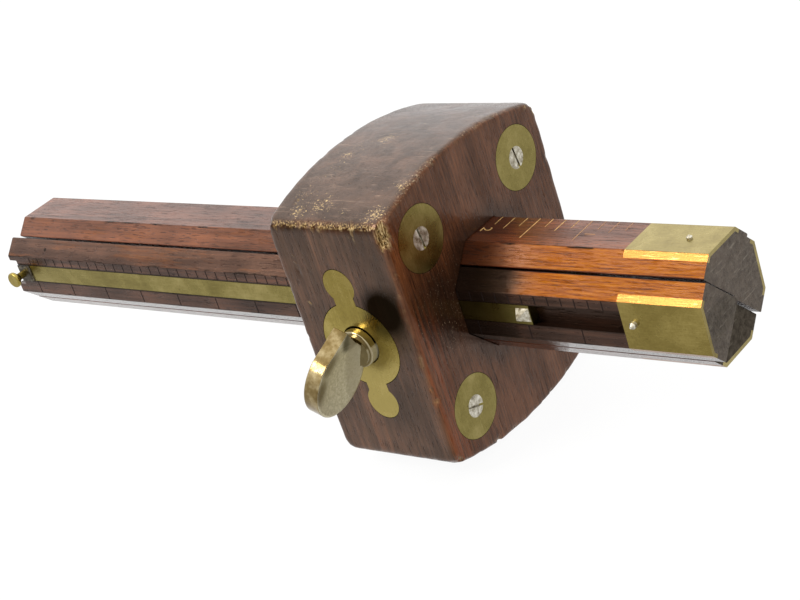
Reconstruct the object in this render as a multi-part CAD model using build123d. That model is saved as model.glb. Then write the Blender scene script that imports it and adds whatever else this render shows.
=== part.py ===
"""Combination marking and mortise gauge with four independent bars.

A rosewood head carries an octagonal stem. The stem is split along its two diagonals into four
bars of triangular section, which slide separately through the head. One thumb screw, pressing
through a shoe in the head, clamps them all. Every bar has a brass wear plate and a scribing pin
at its front end. The bar under the thumb screw also has a groove with a brass mortise slide,
which carries a second spur and is pushed by a small knob at its back end.

Millimetres. X runs along the stem towards the pins, Y across the head (the thumb screw is on
the -Y side), Z up. The origin is the centre of the head's fence face, on the stem's axis.
"""
from build123d import *
from math import cos, radians, sin, sqrt, tan
import os

# ---- head ----
HEAD_WIDTH = 55.0            # across the two flat sides
HEAD_CORNER = 55.0           # height of the flat sides
HEAD_CROWN = 64.6            # height over the two crowned sides
HEAD_THICK = 30.5
HEAD_EDGE = 0.9              # worn roundness of the outer edges
APERTURE_FIT = 0.15          # clearance all round the stem
SIDE_Y = -HEAD_WIDTH / 2     # the thumb screw's side

# ---- stem ----
STEM_FLATS = 24.8            # across flats of the octagon
FACET = STEM_FLATS * tan(radians(22.5))   # width of one facet
STEM_R = STEM_FLATS / 2
BAR_GAP = 0.4                # between neighbouring bars
BAR_EDGE = 0.3
END_EDGE = 0.5
BARS = {                     # turn about X from "facet up", front end, back end
    "top": (0, 56.5, -141.8),
    "rear": (-90, 55.1, -143.2),
    "near": (90, 57.0, -144.6),
    "bottom": (180, 54.2, -145.0),
}

# ---- brass wear plates and pins ----
PLATE_LENGTH = 18.3
PLATE_THICK = 0.8
PLATE_WRAP = 1.6             # down each neighbouring chamfer
RIVET_R = 0.45
RIVET_LENGTH = 4.0
RIVET_INSET = 1.3            # from the bar's front end
PIN_R = 0.6
PIN_DEPTH = 6.0
PIN_STANDS = 0.7             # single pins, worn short
PIN_INSET = 6.9
MORTISE_PIN_X = 41.4         # fixed pin of the mortise pair, the zero of its scale
MORTISE_PIN_R = 0.72
MORTISE_PIN_STANDS = 1.4

# ---- mortise slide, in the near bar ----
GROOVE_Z = 0.5               # the groove runs slightly above the facet's middle
GROOVE_MOUTH = 4.5
GROOVE_FLARE = 0.5           # dovetail: wider at the bottom, each side
GROOVE_DEPTH = 2.4
SLIDE_THICK = 2.3
SLIDE_SIDE_FIT = 0.1
SLIDE_FRONT = 17.2
SLIDE_BACK = -137.4
SLIDE_TRAVEL = 21.3
SLIDE_END_ROOM = 0.2         # left between the slide and the groove's end when pushed forward
SPUR_BASE = 3.0
SPUR_HEIGHT = 1.9
NOTCH_BACK = -141.8          # the bar's end is cut back round the groove's mouth
PULL_BLOCK_STANDS = 0.5
KNOB_X = -140.2
KNOB_NECK_R = 0.9
KNOB_STANDS = 4.2
KNOB_HEAD_R = 2.0
KNOB_HEAD_THICK = 1.1

# ---- brass discs let into the fence face ----
DISC_R = 6.9
DISC_THICK = 3.0
DISC_Y = 17.2
DISC_Z = 19.7
SCREW_HEAD_R = 2.4
SCREW_SHANK_R = 1.2
SCREW_LENGTH = 12.0
SLOT_WIDTH = 0.5
SLOT_DEPTH = 0.6
SLOT_TURNS = {(1, 1): 99, (-1, 1): 98, (-1, -1): -21, (1, -1): 35}

# ---- clamp: escutcheon, bush, shoe and thumb screw ----
CLAMP_X = -15.4
ESCUTCHEON_THICK = 2.0
ESCUTCHEON_R = 9.55
LOBE_R = 3.9
LOBE_Z = 13.65
WAIST = 5.4
ESCUTCHEON_TILT = 2.7
ESCUTCHEON_PIN_R = 0.6
COLLAR_HOLE_R = 4.5
BUSH_R = 6.5
BUSH_LENGTH = 8.0
SCREW_R = 3.0
SCREW_FIT = 0.05
SHOE_LENGTH = 18.0
SHOE_HEIGHT = 9.6
SHOE_THICK = 2.9
SHOE_REST_GAP = 0.05
SHOE_SIDE_FIT = 0.2
SHOE_TRAVEL = 1.5
SHOE_RELIEF = 5.6            # the shoe spans the slide and bears on the wood beside it
SPIGOT_R = 1.5
SPIGOT_LENGTH = 1.2
COLLAR_R = 4.2
COLLAR_STANDS = 1.9
NECK_R = 3.5
NECK_STANDS = 2.4
THUMB_FACE_TURN = -21.9      # the faces' normal, turned from +X towards -Z
THUMB_CENTRE = 9.0           # from the head's side
THUMB_SET_OVER = 2.2         # the piece sits off the screw's axis, towards its lower side
THUMB_HALF_LENGTH = 7.9      # along the screw
THUMB_HALF_WIDTH = 8.4
THUMB_THICK = 3.4
THUMB_RIM = 0.5
THUMB_DISH = 1.2
THUMB_HORN = (-2.1, -10.8)      # tip of the upper shoulder, from the oval's centre: outwards, then down


def box(x0, x1, y0, y1, z0, z1):
    """A box between two corners."""
    return Pos((x0 + x1) / 2, (y0 + y1) / 2, (z0 + z1) / 2) * Box(x1 - x0, y1 - y0, z1 - z0)


def along_x(points, x0, x1, edge=0):
    """A prism from x0 to x1 with a section given in (y, z), its corners rounded by edge."""
    face = make_face(Polyline(*points, close=True))
    if edge:
        face = fillet(face.vertices(), edge)
    return extrude(Plane.YZ.offset(x0) * face, x1 - x0)


def rod_x(radius, x0, x1, y, z):
    return Pos((x0 + x1) / 2, y, z) * Rot(0, 90, 0) * Cylinder(radius, x1 - x0)


def rod_y(radius, y0, y1, x, z):
    return Pos(x, (y0 + y1) / 2, z) * Rot(90, 0, 0) * Cylinder(radius, y1 - y0)


def rod_z(radius, z0, z1, x, y):
    return Pos(x, y, (z0 + z1) / 2) * Cylinder(radius, z1 - z0)


def octagon(flats):
    """Corners of a regular octagon with flats facing +-Y and +-Z."""
    r = flats / 2 / cos(radians(22.5))
    return [(r * cos(radians(22.5 + 45 * i)), r * sin(radians(22.5 + 45 * i))) for i in range(8)]


def turned(shape, name):
    """A shape made for a bar with its facet up, turned to that bar's own side."""
    return Rot(BARS[name][0], 0, 0) * shape


# ---------------------------------------------------------------- head

def head_outline():
    """The head's front view: two flat sides and two crowned sides."""
    y, corner, crown = HEAD_WIDTH / 2, HEAD_CORNER / 2, HEAD_CROWN / 2
    lines = Line((y, -corner), (y, corner)) + Line((-y, corner), (-y, -corner))
    arcs = ThreePointArc((y, corner), (0, crown), (-y, corner))
    arcs += ThreePointArc((-y, -corner), (0, -crown), (y, -corner))
    return make_face(lines + arcs)


def head_block():
    block = extrude(Plane.YZ.offset(-HEAD_THICK) * head_outline(), HEAD_THICK)
    block = fillet(block.edges(), HEAD_EDGE)
    block -= along_x(octagon(STEM_FLATS + 2 * APERTURE_FIT), -HEAD_THICK - 1, 1)
    for side_y, side_z in SLOT_TURNS:
        y, z = side_y * DISC_Y, side_z * DISC_Z
        block -= rod_x(DISC_R, -DISC_THICK, 1, y, z)
        block -= rod_x(SCREW_SHANK_R, -SCREW_LENGTH, 0, y, z)
    block -= escutcheon_blank(ESCUTCHEON_THICK)
    block -= rod_y(BUSH_R, SIDE_Y, bush_inner(), CLAMP_X, 0)
    for pin in escutcheon_pins():
        block -= pin
    block -= shoe_recess()
    return block


def wear_disc(side_y, side_z):
    """Brass disc flush with the fence face, countersunk for its screw."""
    y, z = side_y * DISC_Y, side_z * DISC_Z
    disc = rod_x(DISC_R, -DISC_THICK, 0, y, z)
    return disc - disc_screw_blank(y, z)


def disc_screw_blank(y, z):
    head_depth = SCREW_HEAD_R - SCREW_SHANK_R
    head = Pos(-head_depth / 2, y, z) * Rot(0, 90, 0) * Cone(SCREW_SHANK_R, SCREW_HEAD_R, head_depth)
    return head + rod_x(SCREW_SHANK_R, -SCREW_LENGTH, -head_depth / 2, y, z)


def disc_screws():
    """Four slotted countersunk wood screws, each slot left at its own angle."""
    screws = []
    for (side_y, side_z), turn in SLOT_TURNS.items():
        y, z = side_y * DISC_Y, side_z * DISC_Z
        slot = Pos(0, y, z) * Rot(turn, 0, 0) * Box(2 * SLOT_DEPTH, 3 * SCREW_HEAD_R, SLOT_WIDTH)
        screws.append(disc_screw_blank(y, z) - slot)
    return screws


# ---------------------------------------------------------------- clamp

def escutcheon_blank(depth):
    """Round plate with a lobe above and below, let into the head's side."""
    shape = Circle(ESCUTCHEON_R)
    shape += Rectangle(WAIST, 2 * LOBE_Z)
    for side in (1, -1):
        shape += Pos(0, side * LOBE_Z) * Circle(LOBE_R)
    plane = Plane(origin=(CLAMP_X, SIDE_Y, 0), x_dir=(1, 0, 0), z_dir=(0, -1, 0))
    return extrude(plane * Rot(0, 0, ESCUTCHEON_TILT) * shape, -depth)


def escutcheon_plate():
    plate = escutcheon_blank(ESCUTCHEON_THICK) - rod_y(COLLAR_HOLE_R, SIDE_Y - 1, SIDE_Y + 5, CLAMP_X, 0)
    for pin in escutcheon_pins():
        plate -= pin
    return plate


def escutcheon_pins():
    """Two brass pins through the lobes, filed flush."""
    shift = LOBE_Z * sin(radians(ESCUTCHEON_TILT))
    return [rod_y(ESCUTCHEON_PIN_R, SIDE_Y, SIDE_Y + 8, CLAMP_X - s * shift, s * LOBE_Z) for s in (1, -1)]


def bush_inner():
    return SIDE_Y + ESCUTCHEON_THICK + BUSH_LENGTH


def thumb_screw_bush():
    bush = rod_y(BUSH_R, SIDE_Y + ESCUTCHEON_THICK, bush_inner(), CLAMP_X, 0)
    return bush - rod_y(SCREW_R + SCREW_FIT, SIDE_Y, bush_inner() + 1, CLAMP_X, 0)


def shoe_outer():
    """Y of the shoe's outer face, where the thumb screw's end bears."""
    return -STEM_R - SHOE_REST_GAP - SHOE_THICK


def shoe_recess():
    half_x, half_z = SHOE_LENGTH / 2 + SHOE_SIDE_FIT, SHOE_HEIGHT / 2 + SHOE_SIDE_FIT
    outer = shoe_outer() - SHOE_TRAVEL - 0.4
    recess = box(CLAMP_X - half_x, CLAMP_X + half_x, outer, -STEM_R + 1, -half_z, half_z)
    return recess + rod_y(SCREW_R + SCREW_FIT, bush_inner() - 0.1, -STEM_R, CLAMP_X, 0)


def pressure_shoe():
    """Brass shoe between the thumb screw and the near bar, with a socket for the screw's spigot."""
    half_x, half_z = SHOE_LENGTH / 2, SHOE_HEIGHT / 2
    inner = -STEM_R - SHOE_REST_GAP
    shoe = box(CLAMP_X - half_x, CLAMP_X + half_x, shoe_outer(), inner, -half_z, half_z)
    relief = SHOE_RELIEF / 2
    shoe -= box(CLAMP_X - 50, CLAMP_X + 50, inner - 0.5, inner + 1, GROOVE_Z - relief, GROOVE_Z + relief)
    spigot_hole_end = shoe_outer() + SPIGOT_LENGTH + 0.1
    return shoe - rod_y(SPIGOT_R + SCREW_FIT, shoe_outer() - 1, spigot_hole_end, CLAMP_X, 0)


def thumb_piece():
    """Oval finger piece in the screw's plane, one shoulder horned, both faces hollowed inside a thin rim."""
    plane = Plane(origin=(0, 0, 0), x_dir=(0, -1, 0), z_dir=(1, 0, 0))
    oval = Ellipse(THUMB_HALF_LENGTH, THUMB_HALF_WIDTH)
    shoulder_in, shoulder_out = (-6.6, -4.0), (3.2, -7.6)
    shoulder = Polygon(shoulder_in, THUMB_HORN, shoulder_out, (0, 0), align=None)
    piece = extrude(plane * (oval + shoulder), THUMB_THICK / 2, both=True)
    piece = fillet(piece.edges(), 0.2)
    long_r, wide_r = THUMB_HALF_LENGTH - THUMB_RIM, THUMB_HALF_WIDTH - THUMB_RIM
    sphere_r = (wide_r ** 2 + THUMB_DISH ** 2) / (2 * THUMB_DISH)
    squash = long_r / wide_r
    for side in (1, -1):
        dish = scale(Sphere(sphere_r), by=(1, squash, 1))
        piece -= Pos(side * (THUMB_THICK / 2 - THUMB_DISH + sphere_r), 0, 0) * dish
    piece = Rot(0, -THUMB_FACE_TURN, 0) * Pos(0, 0, -THUMB_SET_OVER) * piece
    return Pos(CLAMP_X, SIDE_Y - THUMB_CENTRE, 0) * piece


def thumb_screw():
    """Brass thumb screw: finger piece, neck, collar, screw and spigot in one piece."""
    collar_in = SIDE_Y + 1.5
    screw = rod_y(COLLAR_R, SIDE_Y - COLLAR_STANDS, collar_in, CLAMP_X, 0)
    screw = fillet(screw.edges(), 0.3)
    screw += rod_y(NECK_R, SIDE_Y - NECK_STANDS, SIDE_Y, CLAMP_X, 0)
    screw += rod_y(SCREW_R, SIDE_Y, shoe_outer() - 0.05, CLAMP_X, 0)
    screw += rod_y(SPIGOT_R, SIDE_Y, shoe_outer() + SPIGOT_LENGTH, CLAMP_X, 0)
    return screw + thumb_piece()


# ---------------------------------------------------------------- bars

def bar_section():
    """Section of a bar with its facet up: a quarter of the octagon, less half the gap."""
    half_gap = BAR_GAP / 2 * sqrt(2)
    corner = STEM_R + FACET / 2
    side_y, side_z = (corner - half_gap) / 2, (corner + half_gap) / 2
    return [(0, half_gap), (side_y, side_z), (FACET / 2, STEM_R), (-FACET / 2, STEM_R), (-side_y, side_z)]


def plate_region(front):
    """Space of a bar's wear plate, facet up: over the facet and a little way down each chamfer."""
    slope = 1 / sqrt(2)
    thick, wrap, over = PLATE_THICK, PLATE_WRAP, 2.0
    inner = FACET / 2 - thick * tan(radians(22.5))
    low_y, low_z = FACET / 2 + wrap * slope, STEM_R - wrap * slope
    half = [
        (inner, STEM_R - thick),
        (low_y - thick * slope, low_z - thick * slope),
        (low_y + over * slope, low_z + over * slope),
        (FACET / 2, STEM_R + over),
    ]
    points = half + [(-y, z) for y, z in reversed(half)]
    return along_x(points, front - PLATE_LENGTH, front + 1)


def rivets(front):
    """Facet up: a brass pin through each wrapped edge of the plate, filed flush."""
    pins = []
    for side in (1, -1):
        middle = PLATE_WRAP / 2 / sqrt(2)
        at = Pos(front - RIVET_INSET, side * (FACET / 2 + middle), STEM_R - middle)
        rivet = Pos(0, 0, -RIVET_LENGTH / 2) * Cylinder(RIVET_R, RIVET_LENGTH)
        pins.append(at * Rot(-side * 45, 0, 0) * rivet)
    return pins


def pin_blank(name):
    """The scribing pin of a bar, facet up, pointed at its outer end."""
    if name == "near":
        x, y, radius, stands = MORTISE_PIN_X, GROOVE_Z, MORTISE_PIN_R, MORTISE_PIN_STANDS
    else:
        x, y, radius, stands = BARS[name][1] - PIN_INSET, 0, PIN_R, PIN_STANDS
    tip = stands * 0.45
    pin = rod_z(radius, STEM_R - PIN_DEPTH, STEM_R + stands - tip, x, y)
    return pin + Pos(x, y, STEM_R + stands - tip / 2) * Cone(radius, radius * 0.35, tip)


def plain_bar(name):
    _, front, back = BARS[name]
    bar = along_x(bar_section(), back, front, BAR_EDGE)
    ends = bar.faces().sort_by(Axis.X)
    return fillet(ends[0].edges(), END_EDGE)


def groove():
    """Dovetail groove of the near bar, facet up, open at the back end."""
    mouth, floor = GROOVE_MOUTH / 2, GROOVE_MOUTH / 2 + GROOVE_FLARE
    points = [
        (GROOVE_Z - mouth, STEM_R + 1),
        (GROOVE_Z - mouth, STEM_R),
        (GROOVE_Z - floor, STEM_R - GROOVE_DEPTH),
        (GROOVE_Z + floor, STEM_R - GROOVE_DEPTH),
        (GROOVE_Z + mouth, STEM_R),
        (GROOVE_Z + mouth, STEM_R + 1),
    ]
    return along_x(points, BARS["near"][2] - 1, SLIDE_FRONT + SLIDE_TRAVEL + SLIDE_END_ROOM)


def bar(name):
    """A wooden bar, facet up, with the seats of its plate, rivets and pin."""
    _, front, back = BARS[name]
    wood = plain_bar(name) - plate_region(front)
    for rivet in rivets(front):
        wood -= rivet
    wood -= pin_blank(name)
    if name == "near":
        wood -= groove()
        half = GROOVE_MOUTH / 2 + GROOVE_FLARE + 0.6
        wood -= box(back - 1, NOTCH_BACK, GROOVE_Z - half, GROOVE_Z + half, STEM_R - 4.5, STEM_R + 1)
    return wood


def wear_plate(name):
    _, front, _ = BARS[name]
    plate = plain_bar(name) & plate_region(front)
    for rivet in rivets(front):
        plate -= rivet
    return plate - pin_blank(name)


# ---------------------------------------------------------------- mortise slide

def slide_strip():
    """Dovetailed brass strip, facet up, flush with the bar."""
    mouth = GROOVE_MOUTH / 2 - SLIDE_SIDE_FIT
    floor = mouth + GROOVE_FLARE * SLIDE_THICK / GROOVE_DEPTH
    points = [
        (GROOVE_Z - mouth, STEM_R),
        (GROOVE_Z - floor, STEM_R - SLIDE_THICK),
        (GROOVE_Z + floor, STEM_R - SLIDE_THICK),
        (GROOVE_Z + mouth, STEM_R),
    ]
    strip = along_x(points, SLIDE_BACK, SLIDE_FRONT)
    return strip - spur_blank()


def spur_blank():
    """Steel spur at the slide's front end: a four-sided point on a square shank."""
    x = SLIDE_FRONT - SPUR_BASE / 2 - 0.2
    shank = Pos(x, GROOVE_Z, STEM_R - SLIDE_THICK / 2) * Box(1.8, 1.8, SLIDE_THICK)
    base = Plane(origin=(x, GROOVE_Z, STEM_R)) * Rectangle(SPUR_BASE, SPUR_BASE)
    tip = Plane(origin=(x - 0.3, GROOVE_Z, STEM_R + SPUR_HEIGHT)) * Rectangle(0.35, 0.6)
    return shank + loft([base.face(), tip.face()])


def pull_block():
    """Steel block at the slide's back end, which holds the knob."""
    mouth = GROOVE_MOUTH / 2 - SLIDE_SIDE_FIT
    top = STEM_R + PULL_BLOCK_STANDS
    block = box(NOTCH_BACK, SLIDE_BACK, GROOVE_Z - mouth, GROOVE_Z + mouth, STEM_R - SLIDE_THICK, top)
    block = fillet(block.edges().filter_by(Axis.Y).group_by(Axis.Z)[-1], 0.45)
    return block - rod_z(KNOB_NECK_R, STEM_R - SLIDE_THICK, top + 1, KNOB_X, GROOVE_Z)


def slide_knob():
    """Turned brass knob, facet up: stem, thin head and a small button on top."""
    base = STEM_R - SLIDE_THICK
    head = STEM_R + KNOB_STANDS - KNOB_HEAD_THICK
    knob = rod_z(KNOB_NECK_R, base, head, KNOB_X, GROOVE_Z)
    knob += Pos(KNOB_X, GROOVE_Z, head - 0.5) * Cone(KNOB_NECK_R, KNOB_HEAD_R * 0.7, 1.0)
    disc = rod_z(KNOB_HEAD_R, head, head + KNOB_HEAD_THICK, KNOB_X, GROOVE_Z)
    return knob + fillet(disc.edges(), 0.4)


# ---------------------------------------------------------------- all pieces

def parts():
    made = {
        "head_block": head_block(),
        "disc_screws": disc_screws(),
        "escutcheon_plate": escutcheon_plate(),
        "escutcheon_pins": escutcheon_pins(),
        "thumb_screw_bush": thumb_screw_bush(),
        "pressure_shoe": pressure_shoe(),
        "thumb_screw": thumb_screw(),
    }
    heights, sides = {1: "upper", -1: "lower"}, {1: "far", -1: "near"}
    for side_y, side_z in SLOT_TURNS:
        made[f"wear_disc_{heights[side_z]}_{sides[side_y]}"] = wear_disc(side_y, side_z)
    for name in BARS:
        front = BARS[name][1]
        made[f"{name}_bar"] = turned(bar(name), name)
        made[f"{name}_wear_plate"] = turned(wear_plate(name), name)
        made[f"{name}_plate_rivets"] = [turned(rivet, name) for rivet in rivets(front)]
        made[f"{name}_scribing_pin"] = turned(pin_blank(name), name)
    made["mortise_slide"] = turned(slide_strip(), "near")
    made["slide_spur"] = turned(spur_blank(), "near")
    made["slide_pull_block"] = turned(pull_block(), "near")
    made["slide_knob"] = turned(slide_knob(), "near")
    return made


os.makedirs("parts", exist_ok=True)
for node, shape in parts().items():
    solids = shape if isinstance(shape, list) else [shape]
    solids = [solid for piece in solids for solid in piece.solids()]
    export_step(Compound(children=solids), f"parts/{node}.step")
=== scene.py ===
"""Looks of the four-bar marking gauge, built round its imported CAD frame.

Blender works in metres; the lengths named here are in millimetres, and MM turns them into metres.
The gauge's stem lies along X, its scribing ends towards +X. The head's fence face is the plane x = 0,
the thumb screw comes out of the head's -Y side, and +Z is one of the head's two crowned sides.
"""
from math import atan2, cos, hypot, pi, radians, sin, sqrt

import bmesh
import bpy
from mathutils import Matrix, Vector, noise


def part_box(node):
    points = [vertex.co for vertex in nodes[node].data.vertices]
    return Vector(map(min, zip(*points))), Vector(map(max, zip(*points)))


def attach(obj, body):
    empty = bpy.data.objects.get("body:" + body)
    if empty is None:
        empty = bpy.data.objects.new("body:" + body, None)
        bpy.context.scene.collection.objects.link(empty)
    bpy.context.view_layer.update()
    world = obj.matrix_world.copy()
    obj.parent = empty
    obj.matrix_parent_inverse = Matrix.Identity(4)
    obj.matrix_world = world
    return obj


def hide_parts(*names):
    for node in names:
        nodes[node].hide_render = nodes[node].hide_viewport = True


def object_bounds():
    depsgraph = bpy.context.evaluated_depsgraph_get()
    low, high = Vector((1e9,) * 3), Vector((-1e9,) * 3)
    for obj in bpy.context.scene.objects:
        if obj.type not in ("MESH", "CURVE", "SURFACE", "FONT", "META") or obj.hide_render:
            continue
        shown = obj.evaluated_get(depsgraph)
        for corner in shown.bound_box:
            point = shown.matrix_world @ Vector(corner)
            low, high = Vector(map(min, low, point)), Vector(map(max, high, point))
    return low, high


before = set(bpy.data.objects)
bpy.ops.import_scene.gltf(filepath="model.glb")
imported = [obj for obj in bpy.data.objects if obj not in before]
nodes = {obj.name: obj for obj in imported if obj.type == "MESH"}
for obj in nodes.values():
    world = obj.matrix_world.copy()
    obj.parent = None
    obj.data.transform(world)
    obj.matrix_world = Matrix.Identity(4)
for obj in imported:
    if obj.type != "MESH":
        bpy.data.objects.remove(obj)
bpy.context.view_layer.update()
MM = 0.001

# ---- sizes shared with the CAD part, mm ----
HEAD_WIDTH = 55.0
HEAD_CORNER = 55.0           # height of the flat sides
HEAD_CROWN = 64.58           # over the crowned sides, a hair inside the CAD block
HEAD_THICK = 30.5
HEAD_EDGE = 0.9              # roundness of the outer edges
SIDE_Y = -HEAD_WIDTH / 2     # the side that carries the thumb screw
CORNER_Z = HEAD_CORNER / 2
STEM_R = 12.4                # from the stem's axis to a facet
FACET = 10.27                # width of a facet
APERTURE_R = 12.55           # to a flat of the head's aperture
DISC_R = 6.9
DISC_THICK = 3.0
DISC_Y = 17.2
DISC_Z = 19.7
DISC_SCREW_R = 1.2
DISC_SCREW_LENGTH = 12.0
CLAMP_X = -15.4              # the thumb screw's axis
ESCUTCHEON_R = 9.55
ESCUTCHEON_THICK = 2.0
ESCUTCHEON_TILT = 2.7        # degrees
LOBE_R = 3.9
LOBE_Z = 13.65
WAIST = 5.4                  # width of the neck between plate and lobe
FIT_GAP = 0.15               # round the escutcheon in its seat
BUSH_R = 6.5
BUSH_LENGTH = 8.0
SCREW_HOLE_R = 3.05
ESCUTCHEON_PIN_R = 0.6
ESCUTCHEON_PIN_LENGTH = 8.0
SHOE_SIDE_FIT = 0.2
SHOE_ROOM = 1.9              # how far the shoe's recess goes on outward for its travel
THUMB_FACE_TURN = -21.9      # degrees from facing +X
GROOVE_SIDE = 0.5            # the slide's groove runs slightly above the facet's middle
GROOVE_MOUTH = 4.5
BAR_TURNS = {"top": 0, "rear": -90, "near": 90, "bottom": 180}

# ---- wear on the head, mm ----
OUTLINE_STEP = 0.55          # between the points of the head's shell
CORNER_CHIP_R = 3.0
CORNER_CHIP_DEPTH = 1.8
TOP_EDGE_CHIP_DEPTH = 0.55
SPLINTER_X = -8.4            # where the longest splinter starts
WORN_SPOTS = (               # (place, radius) of the fleck clusters on the upper crown
    ((-18.1, 0.7, 32.3), 4.5),
    ((-23.2, -6.1, 32.1), 3.0),
    ((-18.4, -22.1, 29.2), 5.0),
    ((-23.4, -23.9, 28.6), 4.0),
    ((-3.1, -24.1, 28.6), 5.0),
    ((-1.2, -16.0, 30.7), 4.0),
)

# ---- where painted shade lies, and a nail hole, mm ----
# painted shade where the thumb piece is reflected in the thumb side's polish
PAINTED_THUMB_REFLECTION = (-6.3, SIDE_Y, 8.2)
# painted shade on the escutcheon where the thumb piece is reflected in it
ESCUTCHEON_THUMB_REFLECTION = (-7.2, SIDE_Y, 6.2)
THUMB_SHADE = (-11.6, -33.2, 5.0)
# painted shade in the thumb piece's hollow, towards its lower and upper left
THUMB_HOLLOW_SHADE = ((-14.3, -42.8, -1.8), (-12.5, -39.8, 2.6))
# painted shade of the head on the mortise slide in front of it
SLIDE_HEAD_SHADE = (5.0, -12.0, 0.0)
NAIL_HOLE = (-130.5, -10.8, 6.7)
HEAD_SHADOW = {                   # painted shadow of the head, black on the bars in front of it: full to x, gone at x, strength
    "near": (11.5, 17.0, 0.94),
    "top": (3.0, 13.0, 0.50),
}

# ---- engraved rules, mm ----
INCH = 25.4
RULE_ZERO = 50.1             # where the inches of the top, rear and bottom bars start
MORTISE_ZERO = 41.4          # and those of the near bar, at its fixed pin
RULE_EDGE = 5.0              # from the facet's middle to where its lines start
RULE_END = -28.0             # the numbered rules stop inside the head
RULE_LINES = (7.6, 7.6, 4.4, 3.2)    # length of a line at an inch, half, quarter and eighth
SHORT_LINES = (2.0,) * 4     # above the mortise slide
SLIDE_LINES = (3.0,) * 4     # below it
TAIL_CLEAR = 6.0             # the near bar's lines stop this far from its tail
TICK_WIDTH = 0.2
DIRT_TICK_WIDTH = 0.28
TICK_DEPTH = 0.05
TICK_LIFT = 0.012
TICK_CLEAR = 1.5             # no line is cut nearer than this to a wear plate
NUMERAL_SIZE = 3.6
NUMERAL_THICK = 0.02
NUMERAL_PLACE = (2.4, -0.2)  # past its inch line, and across the facet

EVEN = (1, 1, 1)             # noise that isn't drawn out
SHELLAC = (1.0, 0.60, 0.40)  # old shellac gives the wood a warm sheen

# ---- camera ----
CAMERA_TARGET = Vector((-14.8, -13.6, 2.4)) * MM
CAMERA_DISTANCE = 383.0 * MM
CAMERA_AZIMUTH = radians(45.57)
CAMERA_ELEVATION = radians(25.10)
CAMERA_ROLL = radians(18.67)
CAMERA_LENS = 83.5


# ---------------------------------------------------------------- camera, light and floor

def add_camera():
    """A long lens that looks down on the near, front corner of the head, rolled to the right."""
    az, el, roll = CAMERA_AZIMUTH, CAMERA_ELEVATION, CAMERA_ROLL
    look = Vector((-sin(az) * cos(el), cos(az) * cos(el), -sin(el)))
    level_right = look.cross(Vector((0, 0, 1))).normalized()
    level_up = level_right.cross(look)
    right = level_right * cos(roll) - level_up * sin(roll)
    up = level_up * cos(roll) + level_right * sin(roll)
    data = bpy.data.cameras.new("camera")
    data.lens = CAMERA_LENS
    data.sensor_width = 36
    data.clip_start = 0.01
    camera = bpy.data.objects.new("camera", data)
    turn = Matrix((right, up, -look)).transposed().to_4x4()
    camera.matrix_world = Matrix.Translation(CAMERA_TARGET - look * CAMERA_DISTANCE) @ turn
    bpy.context.scene.collection.objects.link(camera)
    bpy.context.scene.camera = camera


def add_area_light(name, towards, distance, size, power, colour):
    """A square softbox in a direction from the head, aimed at it."""
    data = bpy.data.lights.new(name, "AREA")
    data.size = size
    data.energy = power
    data.color = colour
    light = bpy.data.objects.new(name, data)
    direction = Vector(towards).normalized()
    light.location = CAMERA_TARGET + direction * distance
    light.rotation_euler = direction.to_track_quat("Z", "Y").to_euler()
    bpy.context.scene.collection.objects.link(light)


def add_floor():
    """A pale light table just under the head's lower crown."""
    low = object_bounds()[0][2]
    bpy.ops.mesh.primitive_plane_add(size=8, location=(0, 0, low - 0.0002))
    floor = bpy.context.active_object
    floor.name = "floor"
    material = bpy.data.materials.new("light_table")
    material.use_nodes = True
    shader = material.node_tree.nodes["Principled BSDF"]
    shader.inputs["Base Color"].default_value = (0.02, 0.02, 0.02, 1)
    shader.inputs["Roughness"].default_value = 0.9
    shader.inputs["Emission Color"].default_value = (1, 1, 1, 1)
    shader.inputs["Emission Strength"].default_value = 0.94
    floor.data.materials.append(material)


def add_world():
    """A pale tent, brightest overhead and dimmer towards the horizon."""
    world = bpy.data.worlds.new("tent")
    world.use_nodes = True
    tree = world.node_tree
    coords = tree.nodes.new("ShaderNodeTexCoord")
    split = tree.nodes.new("ShaderNodeSeparateXYZ")
    ramp = tree.nodes.new("ShaderNodeValToRGB")
    ramp.color_ramp.elements[0].position = 0.0
    ramp.color_ramp.elements[0].color = (0.60, 0.60, 0.61, 1)
    ramp.color_ramp.elements[1].position = 0.6
    ramp.color_ramp.elements[1].color = (1.0, 0.99, 0.97, 1)
    tree.links.new(coords.outputs["Generated"], split.inputs[0])
    tree.links.new(split.outputs["Z"], ramp.inputs["Fac"])
    tree.links.new(ramp.outputs["Color"], tree.nodes["Background"].inputs["Color"])
    tree.nodes["Background"].inputs["Strength"].default_value = 1.9
    bpy.context.scene.world = world


# ---------------------------------------------------------------- materials

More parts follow.
